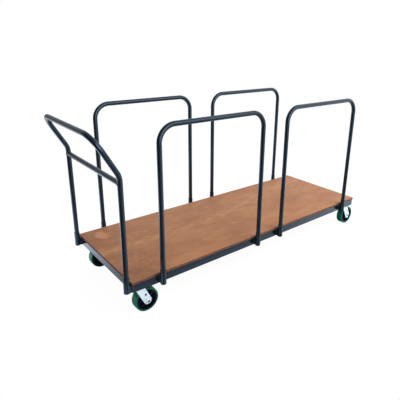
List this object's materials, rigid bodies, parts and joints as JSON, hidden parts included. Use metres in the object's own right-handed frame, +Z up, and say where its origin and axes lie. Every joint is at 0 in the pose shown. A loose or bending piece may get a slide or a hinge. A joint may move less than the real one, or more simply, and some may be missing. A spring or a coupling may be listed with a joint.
{
  "type": "platform cart",
  "caption": "Long flat plywood deck on a steel rail frame, with lift-out tube uprights along both sides, a lift-out push handle at one end and swivel casters.",
  "frame": {"origin": "on the floor, under the middle of the cart's overall length and width", "axes": "+X along the deck away from the push handle, +Y to the left of the person pushing, +Z up"},
  "size_m": [2.3702, 0.843, 1.1379],
  "materials": {
    "deck_plywood": "satin brown stain",
    "frame_paint": "semi-gloss dark blue-grey powder coat",
    "zinc_plate": "bright zinc plate",
    "bearing_steel": "ground steel",
    "core_plastic": "black moulded polyolefin",
    "bearing_nylon": "natural nylon",
    "tread_polyurethane": "smooth green polyurethane"
  },
  "bodies": {
    "frame": {"caster_bolts": "zinc_plate", "caster_nuts": "zinc_plate", "caster_pads": "frame_paint", "cross_member_1": "frame_paint", "cross_member_2": "frame_paint", "cross_member_3": "frame_paint", "deck_board": "deck_plywood", "deck_screws": "zinc_plate", "end_rail_front": "frame_paint", "end_rail_rear": "frame_paint", "kingpin_nuts": "zinc_plate", "kingpins": "bearing_steel", "side_rail_left": "frame_paint", "side_rail_right": "frame_paint", "sockets_front_left": "frame_paint", "sockets_front_right": "frame_paint", "sockets_handle": "frame_paint", "sockets_rear_left": "frame_paint", "sockets_rear_right": "frame_paint", "standoffs_front_left": "frame_paint", "standoffs_front_right": "frame_paint", "standoffs_handle": "frame_paint", "standoffs_rear_left": "frame_paint", "standoffs_rear_right": "frame_paint", "swivel_balls": "bearing_steel", "top_plate_front_left": "zinc_plate", "top_plate_front_right": "zinc_plate", "top_plate_rear_left": "zinc_plate", "top_plate_rear_right": "zinc_plate"},
    "rear_right_upright": {"upright_rear_right": "frame_paint"},
    "rear_left_upright": {"upright_rear_left": "frame_paint"},
    "front_right_upright": {"upright_front_right": "frame_paint"},
    "front_left_upright": {"upright_front_left": "frame_paint"},
    "push_handle": {"handle_tube": "frame_paint", "handle_crossbar": "frame_paint"},
    "rear_right_swivel": {"fork_rear_right": "zinc_plate", "axle_bolt_rear_right": "zinc_plate", "axle_spacer_rear_right": "bearing_steel"},
    "rear_right_wheel": {"wheel_core_rear_right": "core_plastic", "wheel_tread_rear_right": "tread_polyurethane", "hub_bearing_rear_right": "bearing_nylon"},
    "rear_left_swivel": {"fork_rear_left": "zinc_plate", "axle_bolt_rear_left": "zinc_plate", "axle_spacer_rear_left": "bearing_steel"},
    "rear_left_wheel": {"wheel_core_rear_left": "core_plastic", "wheel_tread_rear_left": "tread_polyurethane", "hub_bearing_rear_left": "bearing_nylon"},
    "front_right_swivel": {"fork_front_right": "zinc_plate", "axle_bolt_front_right": "zinc_plate", "axle_spacer_front_right": "bearing_steel"},
    "front_right_wheel": {"wheel_core_front_right": "core_plastic", "wheel_tread_front_right": "tread_polyurethane", "hub_bearing_front_right": "bearing_nylon"},
    "front_left_swivel": {"fork_front_left": "zinc_plate", "axle_bolt_front_left": "zinc_plate", "axle_spacer_front_left": "bearing_steel"},
    "front_left_wheel": {"wheel_core_front_left": "core_plastic", "wheel_tread_front_left": "tread_polyurethane", "hub_bearing_front_left": "bearing_nylon"}
  },
  "joints": [
    {"name": "rear_right_upright_lift", "type": "slide", "parent": "frame", "child": "rear_right_upright", "axis": [0, 0, 1], "range_m": [0, 0.15]},
    {"name": "rear_left_upright_lift", "type": "slide", "parent": "frame", "child": "rear_left_upright", "axis": [0, 0, 1], "range_m": [0, 0.15]},
    {"name": "front_right_upright_lift", "type": "slide", "parent": "frame", "child": "front_right_upright", "axis": [0, 0, 1], "range_m": [0, 0.15]},
    {"name": "front_left_upright_lift", "type": "slide", "parent": "frame", "child": "front_left_upright", "axis": [0, 0, 1], "range_m": [0, 0.15]},
    {"name": "push_handle_lift", "type": "slide", "parent": "frame", "child": "push_handle", "axis": [0, 0, 1], "range_m": [0, 0.15]},
    {"name": "rear_right_swivel_turn", "type": "hinge", "parent": "frame", "child": "rear_right_swivel", "pos_m": [-0.95907, -0.316, 0.16585], "axis": [0, 0, 1], "continuous": true},
    {"name": "rear_right_wheel_spin", "type": "hinge", "parent": "rear_right_swivel", "child": "rear_right_wheel", "pos_m": [-0.90707, -0.316, 0.0762], "axis": [0, 1, 0], "continuous": true},
    {"name": "rear_left_swivel_turn", "type": "hinge", "parent": "frame", "child": "rear_left_swivel", "pos_m": [-0.95907, 0.316, 0.16585], "axis": [0, 0, 1], "continuous": true},
    {"name": "rear_left_wheel_spin", "type": "hinge", "parent": "rear_left_swivel", "child": "rear_left_wheel", "pos_m": [-0.90707, 0.316, 0.0762], "axis": [0, 1, 0], "continuous": true},
    {"name": "front_right_swivel_turn", "type": "hinge", "parent": "frame", "child": "front_right_swivel", "pos_m": [1.05693, -0.316, 0.16585], "axis": [0, 0, 1], "continuous": true},
    {"name": "front_right_wheel_spin", "type": "hinge", "parent": "front_right_swivel", "child": "front_right_wheel", "pos_m": [1.10893, -0.316, 0.0762], "axis": [0, 1, 0], "continuous": true},
    {"name": "front_left_swivel_turn", "type": "hinge", "parent": "frame", "child": "front_left_swivel", "pos_m": [1.05693, 0.316, 0.16585], "axis": [0, 0, 1], "continuous": true},
    {"name": "front_left_wheel_spin", "type": "hinge", "parent": "front_left_swivel", "child": "front_left_wheel", "pos_m": [1.10893, 0.316, 0.0762], "axis": [0, 1, 0], "continuous": true}
  ]
}
